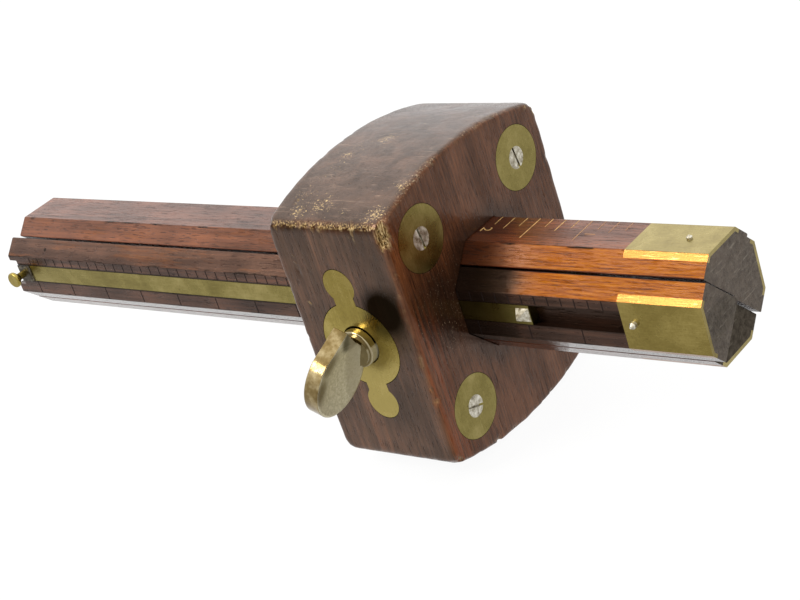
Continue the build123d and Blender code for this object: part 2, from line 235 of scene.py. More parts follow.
class Paint:
    """A material's node tree, with short ways to add the few kinds of node used here."""

    def __init__(self, name):
        self.material = bpy.data.materials.new(name)
        self.material.use_nodes = True
        self.tree = self.material.node_tree
        self.shader = self.tree.nodes["Principled BSDF"]
        self.coords = self.node("ShaderNodeTexCoord")
        self.colour = None

    def node(self, kind, **settings):
        node = self.tree.nodes.new(kind)
        for key, value in settings.items():
            setattr(node, key, value)
        return node

    def put(self, value, socket):
        """Feeds a socket from a node's output, or sets it to a number or a colour."""
        if isinstance(value, bpy.types.NodeSocket):
            self.tree.links.new(value, socket)
        elif hasattr(socket.default_value, "__len__") and len(value) == 3 and len(socket.default_value) == 4:
            socket.default_value = (*value, 1)
        else:
            socket.default_value = value

    def set(self, **inputs):
        """Feeds the shader's inputs; an underscore stands for a space."""
        for key, value in inputs.items():
            self.put(value, self.shader.inputs[key.replace("_", " ")])

    def math(self, operation, *values, clamp=False):
        """One operation on two values, or down a row of them; only the last result is clamped."""
        result = values[0]
        for value in values[1:]:
            node = self.node("ShaderNodeMath", operation=operation)
            self.put(result, node.inputs[0])
            self.put(value, node.inputs[1])
            result = node.outputs[0]
        node.use_clamp = clamp
        return result

    def times(self, *values, clamp=False):
        return self.math("MULTIPLY", *values, clamp=clamp)

    def plus(self, *values, clamp=False):
        return self.math("ADD", *values, clamp=clamp)

    def less(self, value, taken, clamp=False):
        return self.math("SUBTRACT", value, taken, clamp=clamp)

    def most(self, *values):
        return self.math("MAXIMUM", *values)

    def size(self, value):
        """A value without its sign."""
        return self.math("ABSOLUTE", value, 0.0)

    def vector(self, operation, source, direction):
        """A vector operation between the object's coordinates or normal and a fixed vector."""
        node = self.node("ShaderNodeVectorMath", operation=operation)
        self.put(self.coords.outputs[source], node.inputs[0])
        node.inputs[1].default_value = direction
        return node.outputs["Value"]

    def attribute(self, name):
        """A number carried by the mesh's points."""
        return self.node("ShaderNodeAttribute", attribute_name=name).outputs["Fac"]

    def axes(self):
        """X, Y and Z of the object's coordinates, in metres."""
        node = self.node("ShaderNodeSeparateXYZ")
        self.put(self.coords.outputs["Object"], node.inputs[0])
        return node.outputs

    def noise(self, stretch, shift, scale, detail=4.0, rough=0.55, twist=0.0, turn=(0, 0, 0)):
        """Noise of so many waves a millimetre; a stretch below 1 draws it out along that axis."""
        place = self.node("ShaderNodeMapping")
        place.inputs["Scale"].default_value = [s / MM for s in stretch]
        place.inputs["Location"].default_value = shift
        place.inputs["Rotation"].default_value = [radians(a) for a in turn]
        self.put(self.coords.outputs["Object"], place.inputs["Vector"])
        node = self.node("ShaderNodeTexNoise")
        self.put(place.outputs["Vector"], node.inputs["Vector"])
        settings = {"Scale": scale, "Detail": detail, "Roughness": rough, "Distortion": twist}
        for name, value in settings.items():
            node.inputs[name].default_value = value
        return node.outputs["Fac"]

    def span(self, value, low, high, start=0.0, end=1.0):
        """Smoothly from start to end as value goes from low to high."""
        node = self.node("ShaderNodeMapRange", interpolation_type="SMOOTHSTEP")
        self.put(value, node.inputs["Value"])
        for name, number in (("From Min", low), ("From Max", high), ("To Min", start), ("To Max", end)):
            node.inputs[name].default_value = number
        return node.outputs["Result"]

    def reach(self, distance, low, high, start=0.0, end=1.0):
        """A span of a distance in metres, from low to high in mm."""
        return self.span(distance, low * MM, high * MM, start, end)

    def ramp(self, value, *stops):
        """A colour ramp with (position, colour) stops."""
        node = self.node("ShaderNodeValToRGB")
        elements = node.color_ramp.elements
        while len(elements) < len(stops):
            elements.new(0.5)
        for element, (position, colour) in zip(elements, stops):
            element.position = position
            element.color = (*colour, 1)
        self.put(value, node.inputs["Fac"])
        return node.outputs["Color"]

    def mix(self, amount, a, b):
        node = self.node("ShaderNodeMix", data_type="RGBA")
        self.put(amount, node.inputs[0])
        self.put(a, node.inputs[6])
        self.put(b, node.inputs[7])
        return node.outputs[2]

    def cover(self, amount, colour):
        """Lays a colour over what is painted so far."""
        self.colour = self.mix(amount, self.colour, colour)

    def bump(self, height, depth_mm, under=None):
        node = self.node("ShaderNodeBump")
        node.inputs["Distance"].default_value = depth_mm * MM
        self.put(height, node.inputs["Height"])
        if under:
            self.put(under, node.inputs["Normal"])
        return node.outputs["Normal"]


def grain(along, stretch):
    """A stretch that draws noise out along one axis, "X" or "Z"."""
    return tuple(stretch if axis == along else 1.0 for axis in "XYZ")


def facing(paint, direction, low, high):
    """1 where the surface faces a direction, 0 where it faces away from it."""
    return paint.span(paint.vector("DOT_PRODUCT", "Normal", Vector(direction).normalized()), low, high)


def across_bar(paint, direction):
    """Distance of a point along a direction square to the stem, in metres."""
    return paint.vector("DOT_PRODUCT", "Object", direction)


def near_point(paint, point, near, far, strength=1.0):
    """The strength within a distance of a point, falling to 0 further off, all in mm."""
    distance = paint.vector("DISTANCE", "Object", Vector(point) * MM)
    return paint.reach(distance, near, far, strength, 0.0)


def rosewood(paint, along, seed, tones):
    """Paints bands, fine lines and open pores, drawn out along one axis; returns height and gloss."""
    shift = (seed * 37.0, seed * 11.0, seed * 23.0)
    bands = paint.noise(grain(along, 0.05), shift, 0.20, 5, 0.62, 0.6)
    lines = paint.noise(grain(along, 0.022), shift, 1.5, 4, 0.7, 0.25)
    pores = paint.noise(grain(along, 0.10), shift, 3.6, 2, 0.5)
    blotch = paint.noise(EVEN, shift, 0.09, 2, 0.5)
    figure = paint.plus(paint.times(bands, 0.6), paint.times(lines, 0.4))
    figure = paint.plus(figure, paint.times(paint.less(blotch, 0.5), 0.35))
    paint.colour = paint.ramp(figure, *zip((0.36, 0.47, 0.56, 0.68), tones))
    open_pores = paint.span(pores, 0.34, 0.42, 1.0, 0.0)
    paint.cover(paint.times(open_pores, 0.65), (0.012, 0.006, 0.005))
    height = paint.less(paint.times(lines, 0.5), paint.times(open_pores, 0.5))
    gloss = paint.times(paint.span(figure, 0.38, 0.60, 0.55, 0.95), paint.span(pores, 0.32, 0.44, 0.35, 1.0))
    return height, gloss


def grey_side(paint, side):
    """The thumb side is greyer: its polish is thin and holds dirt."""
    cloud = paint.noise(grain("Z", 0.25), (4, 2, 9), 0.35, 4, 0.6)
    grey = paint.ramp(cloud, (0.35, (0.011, 0.007, 0.005)), (0.65, (0.034, 0.020, 0.012)))
    paint.cover(paint.times(side, 0.6), grey)


def worn_crowns(paint, rubbed):
    """End grain and rubbed polish on the crowns, scratched from face to face, with flecks of bare wood."""
    x, y, z = paint.axes()
    crown = paint.plus(facing(paint, (0, 0, 1), 0.55, 0.9), facing(paint, (0, 0, -1), 0.55, 0.9), clamp=True)
    worn = paint.noise((0.12, 1, 1), (1, 5, 2), 0.9, 5, 0.72, 0.3)
    stops = (0.38, (0.008, 0.005, 0.004)), (0.54, (0.018, 0.011, 0.008)), (0.70, (0.050, 0.033, 0.024))
    amount = paint.plus(0.78, paint.times(paint.reach(y, -6, -26), 0.15))
    paint.cover(paint.times(crown, amount), paint.ramp(worn, *stops))
    scratches = paint.noise((0.06, 1, 1), (7, 3, 1), 2.6, 3, 0.6)
    paint.cover(paint.times(paint.span(scratches, 0.62, 0.72), crown, 0.3), (0.30, 0.22, 0.16))

    fleck_noise = paint.noise((0.6, 1, 1), (3, 8, 5), 2.9, 3, 0.78)
    spots = paint.span(paint.noise(EVEN, (9, 1, 4), 0.11, 2, 0.5), 0.54, 0.72, 0.0, 0.07)
    for spot, radius in WORN_SPOTS:
        spots = paint.most(spots, near_point(paint, spot, 0, radius, 0.155))
    flecks = paint.span(paint.plus(fleck_noise, spots), 0.68, 0.74)
    paint.cover(paint.times(flecks, crown), (0.36, 0.26, 0.12))

    # specks along the arris over the fence face, fewer towards its far end
    specks = paint.times(paint.span(rubbed, 0.45, 0.85), paint.reach(z, CORNER_Z - 1.3, CORNER_Z))
    specks = paint.times(specks, paint.reach(x, -2.2, -1.0), paint.reach(y, 20, -6, 0.35, 0.85))
    paint.cover(paint.times(specks, paint.span(fleck_noise, 0.56, 0.62)), (0.30, 0.24, 0.16))


def fence_face(paint, front):
    """The fence face is redder and more even, with fine lines, and painted black round the stem: a painted
    reflection of the stem.
    """
    _, y, z = paint.axes()
    lines = paint.noise(grain("Z", 0.06), (5, 1, 7), 2.6, 4, 0.7, 0.2)
    stops = (0.38, (0.026, 0.009, 0.004)), (0.50, (0.062, 0.021, 0.008)), (0.64, (0.105, 0.038, 0.014))
    paint.cover(paint.times(front, 0.58), paint.ramp(lines, *stops))
    from_axis = paint.math("SQRT", paint.plus(paint.times(y, y), paint.times(z, z)), 0.0)
    # painted reflection of the stem: near black round it on the fence face
    round_stem = paint.reach(from_axis, 13.5, 19.5, 0.75, 0.0)
    stem_reflection = paint.most(round_stem, near_point(paint, (0, -18, 3), 5, 13, 0.8))
    paint.cover(paint.times(stem_reflection, front), (0.006, 0.003, 0.002))
    speck_noise = paint.noise((1, 1.6, 0.7), (3, 8, 5), 2.0, 3, 0.8, turn=(25, 0, 0))
    specks = paint.times(paint.span(speck_noise, 0.63, 0.67), near_point(paint, (0, -16, 2), 5, 16, 0.6))
    paint.cover(paint.times(specks, front), (0.26, 0.20, 0.13))


def sapwood(paint, front):
    """Redder streaks in the fence face towards the thumb side."""
    _, y, z = paint.axes()
    streaks = paint.noise(grain("Z", 0.03), (3, 6, 1), 1.0, 4, 0.65)
    sap = paint.times(paint.reach(y, -17.5, -25.5), paint.reach(z, 14, -4), front)
    paint.cover(paint.times(sap, paint.span(streaks, 0.42, 0.60), 0.7), (0.13, 0.030, 0.007))


def worn_arrises(paint, rubbed):
    """Redder arrises, and a dull line above the thumb side; returns where it is dull."""
    _, y, z = paint.axes()
    broken = paint.noise(grain("Z", 0.2), (2, 2, 2), 0.8, 4, 0.6)
    paint.cover(paint.times(rubbed, paint.span(broken, 0.40, 0.58), 0.3), (0.080, 0.024, 0.008))
    dull = paint.reach(z, CORNER_Z - 2.3, CORNER_Z - 0.5)
    dull = paint.times(dull, paint.reach(y, SIDE_Y + 1.3, SIDE_Y + 0.4))
    dull = paint.times(dull, paint.span(broken, 0.36, 0.56, 0.45, 0.95))
    paint.cover(paint.times(dull, 0.5), (0.016, 0.009, 0.005))
    return dull


def bare_wood(paint, bare, fibres, side):
    """Pale fibre in the chips and in a thin fringe above the thumb side."""
    x, y, z = paint.axes()
    stops = (0.40, (0.035, 0.017, 0.006)), (0.50, (0.22, 0.135, 0.050)), (0.64, (0.55, 0.42, 0.22))
    paint.cover(paint.times(bare, paint.span(fibres, 0.30, 0.45)), paint.ramp(fibres, *stops))
    fringe = paint.reach(z, CORNER_Z - 0.9, CORNER_Z - 0.3)
    fringe = paint.times(fringe, paint.reach(y, SIDE_Y + 1.3, SIDE_Y + 0.7))
    paint.cover(paint.times(fringe, paint.span(fibres, 0.50, 0.58, 0.0, 0.7)), (0.34, 0.24, 0.11))
    under_edge = paint.times(side, bare, paint.reach(x, -3.5, -5.0))
    paint.cover(paint.times(under_edge, 0.75), (0.020, 0.010, 0.005))


def head_rosewood():
    """Dark polished rosewood, grain up the head, worn pale on its crowns and bare where it is chipped."""
    paint = Paint("head_rosewood")
    tones = ((0.004, 0.002, 0.001), (0.020, 0.006, 0.002), (0.058, 0.017, 0.005), (0.125, 0.040, 0.012))
    height, gloss = rosewood(paint, "Z", 3, tones)
    side = facing(paint, (0, -1, 0), 0.75, 0.95)
    front = facing(paint, (1, 0, 0), 0.7, 0.9)
    rubbed = paint.attribute("rubbed")
    bare = paint.attribute("bare")
    fibres = paint.noise(grain("Z", 0.12), (6, 6, 6), 3.0, 4, 0.7)
    grey_side(paint, side)
    worn_crowns(paint, rubbed)
    fence_face(paint, front)
    # painted shade behind the thumb screw: a near-black spot for the thumb piece's reflection in the polish
    paint.cover(near_point(paint, PAINTED_THUMB_REFLECTION, 3.2, 7.8, 0.9), (0.003, 0.002, 0.001))
    sapwood(paint, front)
    dull = worn_arrises(paint, rubbed)
    bare_wood(paint, bare, fibres, side)

    rough = paint.span(paint.noise(EVEN, (5, 5, 5), 0.16, 4, 0.6), 0.35, 0.65, 0.17, 0.27)
    rough = paint.plus(rough, paint.times(bare, 0.5), clamp=True)
    # the polish is also taken off under the painted shade behind the thumb screw
    unpolished = paint.plus(paint.most(paint.times(bare, 0.8), dull), near_point(paint, PAINTED_THUMB_REFLECTION, 2.8, 7.8))
    unpolished = paint.plus(unpolished, paint.times(front, 0.30))
    polish = paint.times(gloss, paint.less(0.9, unpolished, clamp=True))
    normal = paint.bump(paint.noise(EVEN, (8, 8, 8), 0.35, 3, 0.5), 0.09)
    normal = paint.bump(height, 0.06, normal)
    normal = paint.bump(paint.times(fibres, bare), 0.35, normal)
    paint.set(Base_Color=paint.colour, Roughness=rough, Normal=normal)
    paint.set(Specular_IOR_Level=polish, Specular_Tint=SHELLAC)
    return paint.material


def gold_chamfers(paint, seed, out, side, gold_from, gold_to):
    """Dark chamfers, orange gold where they face up in front of the head: rubbed wood with a painted
    highlight of the key light on it; returns the chamfers, gold and streaks.
    """
    x = paint.axes()[0]
    left = facing(paint, out - side, 0.93, 0.99)
    right = facing(paint, out + side, 0.93, 0.99)
    either = paint.plus(left, right, clamp=True)
    upward = paint.times(either, facing(paint, (0, 0, 1), -0.2, 0.2))
    streaks = paint.noise((0.04, 1, 1), (seed, 3, 1), 2.8, 5, 0.75, 0.2)
    patches = paint.noise((0.16, 1, 1), (seed, 7, 2), 0.30, 4, 0.65)
    stops = (0.36, (0.05, 0.010, 0.001)), (0.46, (0.17, 0.040, 0.001)), (0.62, (0.27, 0.085, 0.003))
    forward = paint.times(paint.reach(x, gold_from, gold_to), 0.9)
    spread = paint.plus(forward, paint.span(patches, 0.50, 0.66, 0.0, 0.2))
    gold = paint.times(spread, upward, clamp=True)
    paint.cover(paint.times(either, 0.3), (0.030, 0.008, 0.003))
    paint.cover(gold, paint.ramp(streaks, *stops))
    return either, gold, streaks


def slide_dirt(paint, out, side, across):
    """Painted shade, black, in the slide's groove and on the facet above the slide in front of the head;
    black along the groove's lips and in a small nail hole.
    """
    x = paint.axes()[0]
    # painted shade of the head on the slide's facet in front of it
    facet = paint.times(facing(paint, out, 0.93, 0.99), paint.reach(x, 18, 36, 0.6, 0.0))
    facet = paint.times(facet, paint.reach(x, -4, 0))
    # painted shade, black, down in the slide's groove
    deep = paint.reach(across_bar(paint, out), 11.7, 12.1, 1.0, 0.0)
    groove = paint.times(deep, paint.reach(across, 3.1, 3.4, 0.8, 0.0))
    hole = near_point(paint, NAIL_HOLE, 0.3, 0.6)
    off_groove = paint.size(paint.less(across_bar(paint, side), GROOVE_SIDE * MM))
    off_lip = paint.size(paint.less(off_groove, (GROOVE_MOUTH / 2 + 0.1) * MM))
    lip = paint.reach(off_lip, 0.1, 0.4, 0.85, 0.0)
    return paint.most(groove, facet, lip, hole)


def bar_dirt(paint, bar, seed, out, side):
    """Paints dirt in a bar's arrises, the head's painted shadow on the bar in front of it, and painted shade
    between the bars; returns them.
    """
    x = paint.axes()[0]
    across = paint.size(across_bar(paint, side))
    off_arris = paint.size(paint.less(across, FACET / 2 * MM))
    ragged = paint.noise((0.12, 1, 1), (seed, 8, 8), 1.1, 4, 0.7)
    dirt = paint.times(paint.reach(off_arris, 0.1, 0.4, 1.0, 0.0), paint.span(ragged, 0.48, 0.60))
    # painted shadow of the head on the bar in front of it
    if bar in HEAD_SHADOW:
        full, gone, strength = HEAD_SHADOW[bar]
        head_shadow = paint.times(paint.reach(x, -4, 0), paint.reach(x, full, gone, strength, 0.0))
        dirt = paint.most(dirt, head_shadow)
    if bar == "near":
        dirt = paint.most(dirt, slide_dirt(paint, out, side, across))
    # painted shade, near black, on the faces between the bars
    dirt = paint.most(dirt, paint.times(facing(paint, -out, 0.3, 0.6), 0.7))
    paint.cover(dirt, (0.005, 0.003, 0.002))
    return dirt


def end_grain(paint, seed):
    """Paints a bar's two ends, dark and finely scratched, and returns where they are."""
    ends = paint.plus(facing(paint, (1, 0, 0), 0.7, 0.9), facing(paint, (-1, 0, 0), 0.7, 0.9), clamp=True)
    pith = paint.noise(EVEN, (seed, 4, 4), 0.9, 6, 0.75)
    colour = paint.ramp(pith, (0.35, (0.026, 0.021, 0.016)), (0.6, (0.062, 0.052, 0.040)))
    cuts = paint.noise((1, 0.10, 1), (2, seed, 5), 2.2, 3, 0.6, turn=(35, 0, 0))
    paint.cover(ends, paint.mix(paint.span(cuts, 0.62, 0.70, 0.0, 0.22), colour, (0.30, 0.27, 0.22)))
    return ends


def stem_rosewood(bar, seed, tones, shine, gold_from, gold_to):
    """A bar's wood: grain along the stem, its chamfers orange gold towards the scribing end, rubbed wood with
    a painted highlight.
    """
    paint = Paint("stem_rosewood_" + bar)
    height, gloss = rosewood(paint, "X", seed, tones)
    turn = radians(BAR_TURNS[bar])
    out = Vector((0, -sin(turn), cos(turn)))
    side = Vector((0, cos(turn), sin(turn)))
    chamfers, gold, streaks = gold_chamfers(paint, seed, out, side, gold_from, gold_to)
    # dirt in the arrises, together with the painted shade and the head's painted shadow
    dirt = bar_dirt(paint, bar, seed, out, side)
    ends = end_grain(paint, seed)

    rough = paint.span(paint.noise((0.2, 1, 1), (seed, 9, 9), 0.6, 4, 0.6), 0.3, 0.7, 0.15, 0.26)
    rough = paint.plus(rough, paint.times(ends, 0.25), clamp=True)
    kept = paint.less(shine, paint.times(ends, 0.4))
    kept = paint.times(kept, paint.less(1.0, paint.times(dirt, 0.75)))
    kept = paint.times(kept, paint.less(1.0, paint.times(gold, 0.8)))
    polish = paint.times(gloss, kept, clamp=True)
    # hands have polished the chamfers under the stem, and they mirror the floor
    under = paint.times(chamfers, facing(paint, (0, 0, -1), 0.55, 0.68))
    rough = paint.times(rough, paint.less(1.0, paint.times(under, 0.6)))
    polish = paint.most(polish, paint.times(under, 0.9))
    normal = paint.bump(streaks, 0.05, paint.bump(height, 0.07))
    paint.set(Base_Color=paint.colour, Normal=normal, Roughness=rough, Specular_IOR_Level=polish)
    paint.set(Specular_Tint=paint.mix(under, SHELLAC, (1.0, 0.95, 0.9)))
    return paint.material


def warm_chamfers(paint, amount):
    """Reddens brass on the faces at 45 degrees between the axes square to the stem."""
    sloped = paint.node("ShaderNodeVectorMath", operation="ABSOLUTE")
    paint.put(paint.coords.outputs["Normal"], sloped.inputs[0])
    slope = paint.node("ShaderNodeVectorMath", operation="DOT_PRODUCT")
    paint.put(sloped.outputs[0], slope.inputs[0])
    slope.inputs[1].default_value = (0, sqrt(0.5), sqrt(0.5))
    paint.cover(paint.span(slope.outputs["Value"], 0.93, 0.99, 0.0, amount), (0.200, 0.082, 0.020))


def brass(name, tones, rough, along=(1, 1, 1), pits=0.0, warm=0.0, spot=None, spot_r=0.0, paler_low=0.0):
    """Old brass with tarnish, scratches and dark pits; at choice also warm chamfers, a dark spot (a pin's
    smear on the near plate, painted shade on the escutcheon and slide), and paler below, darker above.
    """
    paint = Paint(name)
    cloud = paint.noise(EVEN, (3, 3, 3), 0.16, 5, 0.55, 0.3)
    fine = paint.noise(EVEN, (6, 1, 6), 2.4, 4, 0.65)
    scratches = paint.noise(along, (1, 9, 1), 5.0, 3, 0.6)
    tarnish = paint.plus(paint.times(cloud, 0.55), paint.times(fine, 0.25), paint.times(scratches, 0.2))
    paint.colour = paint.ramp(tarnish, *zip((0.32, 0.50, 0.68), tones))
    if warm:
        warm_chamfers(paint, warm)
    # paler towards the bottom and darker towards the top
    if paler_low:
        z = paint.axes()[2]
        paint.cover(paint.reach(z, 8, -8, 0.0, paler_low), tones[2])
        paint.cover(paint.reach(z, 4, 12, 0.0, paler_low), tones[0])
    paint.cover(paint.span(scratches, 0.60, 0.68, 0.0, 0.4), tones[2])
    paint.cover(paint.span(fine, 0.27, 0.35, 0.6, 0.0), (0.06, 0.045, 0.015))
    # a dark spot: a smear round the near plate's pin, painted shade on the escutcheon and the slide
    if spot:
        paint.cover(near_point(paint, spot, 0.3 * spot_r, spot_r, 0.8), (0.05, 0.038, 0.006))
    normal = paint.bump(fine, 0.015, paint.bump(scratches, 0.02))
    if pits:
        normal = paint.bump(fine, pits, normal)
    roughness = paint.span(cloud, 0.3, 0.7, *rough)
    paint.set(Base_Color=paint.colour, Metallic=1.0, Roughness=roughness, Normal=normal)
    return paint.material


def steel(name, tones):
    """Filed steel with fine scratches and a little brown rust."""
    paint = Paint(name)
    cloud = paint.noise(EVEN, (2, 4, 6), 0.9, 5, 0.65)
    scratches = paint.noise((1, 0.1, 1), (1, 1, 1), 6.0, 3, 0.6, turn=(40, 0, 0))
    paint.colour = paint.ramp(cloud, *zip((0.35, 0.5, 0.65), tones))
    paint.cover(paint.span(scratches, 0.58, 0.68, 0.0, 0.5), tones[2])
    rough = paint.span(cloud, 0.3, 0.7, 0.30, 0.50)
    paint.set(Base_Color=paint.colour, Metallic=1.0, Roughness=rough, Normal=paint.bump(scratches, 0.03))
    return paint.material


def thumb_brass():
    """The thumb screw: dull sand-cast hollows, a brighter rim and a turned, shiny collar."""
    paint = Paint("turned_brass_thumb")
    turn = radians(THUMB_FACE_TURN)
    face = Vector((cos(turn), 0, sin(turn)))
    hollow = paint.plus(facing(paint, face, 0.80, 0.90), facing(paint, -face, 0.80, 0.90), clamp=True)
    cast = paint.noise(EVEN, (3, 2, 1), 1.6, 5, 0.7)
    cloud = paint.noise(EVEN, (5, 2, 8), 0.35, 4, 0.6)
    rim = (0.30, (0.11, 0.072, 0.024)), (0.5, (0.19, 0.135, 0.055)), (0.70, (0.36, 0.29, 0.16))
    dull = (0.32, (0.37, 0.33, 0.21)), (0.5, (0.50, 0.46, 0.31)), (0.68, (0.64, 0.59, 0.43))
    paint.colour = paint.ramp(cloud, *rim)
    paint.cover(hollow, paint.ramp(cast, *dull))
    # painted shade on the thumb piece: dark on the web below the collar and in the hollow
    paint.cover(near_point(paint, THUMB_SHADE, 2.0, 3.6, 0.85), (0.045, 0.038, 0.016))
    hollow_shade = paint.most(*(near_point(paint, place, 1.0, 4.6, 0.9) for place in THUMB_HOLLOW_SHADE))
    paint.cover(paint.times(hollow_shade, hollow), (0.13, 0.100, 0.044))
    collar = paint.reach(paint.axes()[1], -34.5, -33.0, 0.0, 0.65)
    paint.cover(collar, (0.33, 0.29, 0.19))
    rough = paint.plus(0.16, paint.times(hollow, 0.22))
    metal = paint.less(1.0, paint.times(hollow, 0.45))
    normal = paint.bump(cloud, 0.05, paint.bump(paint.times(cast, hollow), 0.08))
    paint.set(Base_Color=paint.colour, Metallic=metal, Roughness=rough, Normal=normal)
    return paint.material


def engraving(name, colour, faded):
    """The colour of a cut line, dirt or pale wood under the polish, faded towards the wear plates."""
    paint = Paint(name)
    wear = paint.noise(EVEN, (1, 2, 3), 0.9, 4, 0.7)
    dark = tuple(0.45 * c for c in colour)
    paint.colour = paint.ramp(wear, (0.38, dark), (0.56, colour))
    paint.cover(paint.reach(paint.axes()[0], 18, 28, 0.0, 0.85), faded)
    paint.set(Base_Color=paint.colour, Roughness=0.6, Specular_IOR_Level=0.1, Normal=paint.bump(wear, 0.03))
    return paint.material


def brass_finishes():
    """Brass for the plates, near plate, discs, escutcheon, slide and turned parts, in that order."""
    olive = ((0.130, 0.102, 0.025), (0.205, 0.167, 0.049), (0.31, 0.256, 0.097))
    golden = ((0.17, 0.125, 0.026), (0.26, 0.200, 0.046), (0.38, 0.30, 0.100))
    pale = ((0.19, 0.145, 0.048), (0.28, 0.225, 0.082), (0.40, 0.33, 0.140))
    dull = ((0.13, 0.095, 0.022), (0.19, 0.145, 0.040), (0.28, 0.22, 0.070))
    low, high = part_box("near_scribing_pin")
    pin = (low + high) / 2 / MM
    lengthwise, upright = (0.05, 1, 1), (1, 1, 0.06)
    plate = brass("aged_brass_plate", pale, (0.20, 0.30), lengthwise, warm=1.0)
    near_plate = brass("aged_brass_near_plate", dull, (0.22, 0.34), lengthwise, warm=1.0,
                       spot=pin, spot_r=1.6)
    disc = brass("aged_brass_disc", olive, (0.24, 0.36), upright)
    # the escutcheon's dark spot is painted shade, the thumb piece's reflection
    escutcheon = brass("aged_brass_escutcheon", golden, (0.20, 0.30), upright, pits=0.02,
                       spot=ESCUTCHEON_THUMB_REFLECTION, spot_r=6.4, paler_low=0.55)
    # the slide's dark spot is painted shade of the head
    slide = brass("aged_brass_slide", olive, (0.22, 0.34), (0.04, 1, 1), spot=SLIDE_HEAD_SHADE, spot_r=20)
    turned = brass("turned_brass", golden, (0.16, 0.28))
    return plate, near_plate, disc, escutcheon, slide, turned


def bar_finishes():
    """Each bar's rosewood: the near bar is darker, and the gold starts at its own place on each."""
    red = ((0.022, 0.005, 0.002), (0.054, 0.012, 0.004), (0.086, 0.020, 0.006), (0.14, 0.034, 0.008))
    dark = ((0.004, 0.001, 0.001), (0.014, 0.004, 0.002), (0.030, 0.009, 0.004), (0.060, 0.018, 0.008))
    return {
        "top_bar": stem_rosewood("top", 1, red, 0.8, 6, 24),
        "rear_bar": stem_rosewood("rear", 5, red, 0.8, -2, 16),
        "near_bar": stem_rosewood("near", 9, dark, 0.72, 10, 22),
        "bottom_bar": stem_rosewood("bottom", 13, red, 0.4, -2, 16),
    }


def finish_nodes():
    """Gives every CAD node its material, but for the head's block, which worn_head replaces."""
    plate, near_plate, disc, escutcheon, slide, turned = brass_finishes()
    metal = steel("steel", ((0.19, 0.16, 0.11), (0.40, 0.37, 0.29), (0.66, 0.63, 0.55)))
    black_steel = steel("steel_black", ((0.02, 0.015, 0.010), (0.06, 0.050, 0.036), (0.20, 0.18, 0.14)))
    chosen = bar_finishes()
    chosen.update({
        "mortise_slide": slide, "escutcheon_plate": escutcheon, "escutcheon_pins": escutcheon,
        "thumb_screw": thumb_brass(), "thumb_screw_bush": turned, "pressure_shoe": turned,
        "slide_knob": turned, "slide_spur": metal, "slide_pull_block": black_steel,
        "disc_screws": metal, "near_wear_plate": near_plate,
    })
    for name, node in nodes.items():
        if name == "head_block":
            continue
        if name in chosen:
            material = chosen[name]
        elif name.endswith("scribing_pin"):
            material = metal
        elif name.startswith("wear_disc"):
            material = disc
        else:
            material = plate
        node.data.materials.clear()
        node.data.materials.append(material)
        if name.endswith("_bar"):
            soften(node, 0.25)
        elif name.endswith("_wear_plate"):
            soften(node, 0.08)


def soften(node, width_mm):
    """Rubs a node's arrises round."""
    bevel = node.modifiers.new("worn_arrises", "BEVEL")
    bevel.width = width_mm * MM
    bevel.segments = 2
    bevel.limit_method = "ANGLE"
    bevel.angle_limit = radians(35)
    bevel.harden_normals = True


# ---------------------------------------------------------------- the head's worn wood

def arc_point(t, side):
    """A point on a crowned side, t from -1 to 1 across the head, and its outward normal."""
    half, rise = HEAD_WIDTH / 2, (HEAD_CROWN - HEAD_CORNER) / 2
    radius = (half ** 2 + rise ** 2) / (2 * rise)
    spread = atan2(half, radius - rise)
    angle = t * spread
    centre = HEAD_CROWN / 2 - radius
    normal = Vector((sin(angle), side * cos(angle)))
    return Vector((radius * sin(angle), side * (centre + radius * cos(angle)))), normal


def head_outline():
    """Points (y, z) round the head with outward normals, its four corners rounded over."""
    half, corner = HEAD_WIDTH / 2, CORNER_Z
    points = []
    side_steps = int(HEAD_CORNER / OUTLINE_STEP)
    for side in (1, -1):
        for i in range(1, side_steps):
            t = 1 - 2 * i / side_steps
            points.append((Vector((side * half, side * t * corner)), Vector((side, 0))))
        for i in range(0, side_steps + 1):
            t = side * (1 - 2 * i / side_steps)
            points.append(arc_point(t, -side))
    return round_corners(points)


def round_corners(points):
    """Pulls in the points near each corner, where two sides meet, onto a small radius."""
    rounded = []
    half, corner, r = HEAD_WIDTH / 2, CORNER_Z, HEAD_EDGE
    for point, normal in points:
        dy, dz = abs(point.x) - (half - r), abs(point.y) - (corner - r)
        if dy > 0 and dz > 0:
            out = Vector((dy, dz)).normalized()
            quarter = Vector((1 if point.x > 0 else -1, 1 if point.y > 0 else -1))
            point = (Vector((half - r, corner - r)) + out * r) * quarter
            normal = out * quarter
        rounded.append((point, normal))
    return rounded


def head_rings():
    """(x, inset) of each ring of the head's shell: in over the fence face, round the arris, and back."""
    r = HEAD_EDGE
    turns = [radians(15 * i) for i in range(7)]
    front = [(0, inset) for inset in (4.2, 3.4, 2.7, 2.1, 1.5)]
    front += [(-r + r * cos(a), r - r * sin(a)) for a in turns]
    steps = int((HEAD_THICK - 2 * r) / OUTLINE_STEP)
    sides = [(-r - (HEAD_THICK - 2 * r) * i / steps, 0) for i in range(1, steps)]
    back = [(-HEAD_THICK - x, inset) for x, inset in reversed(front)]
    return front + sides + back


def rough(point, scale, seed):
    """Noise from about -1 to 1 at a point in mm."""
    return noise.noise(point * scale + Vector((seed, seed * 1.7, seed * 0.3))) * 1.6


def smooth(low, high, value):
    """Smoothly from 0 to 1 as value goes from low to high."""
    t = min(max((value - low) / (high - low), 0), 1)
    return t * t * (3 - 2 * t)


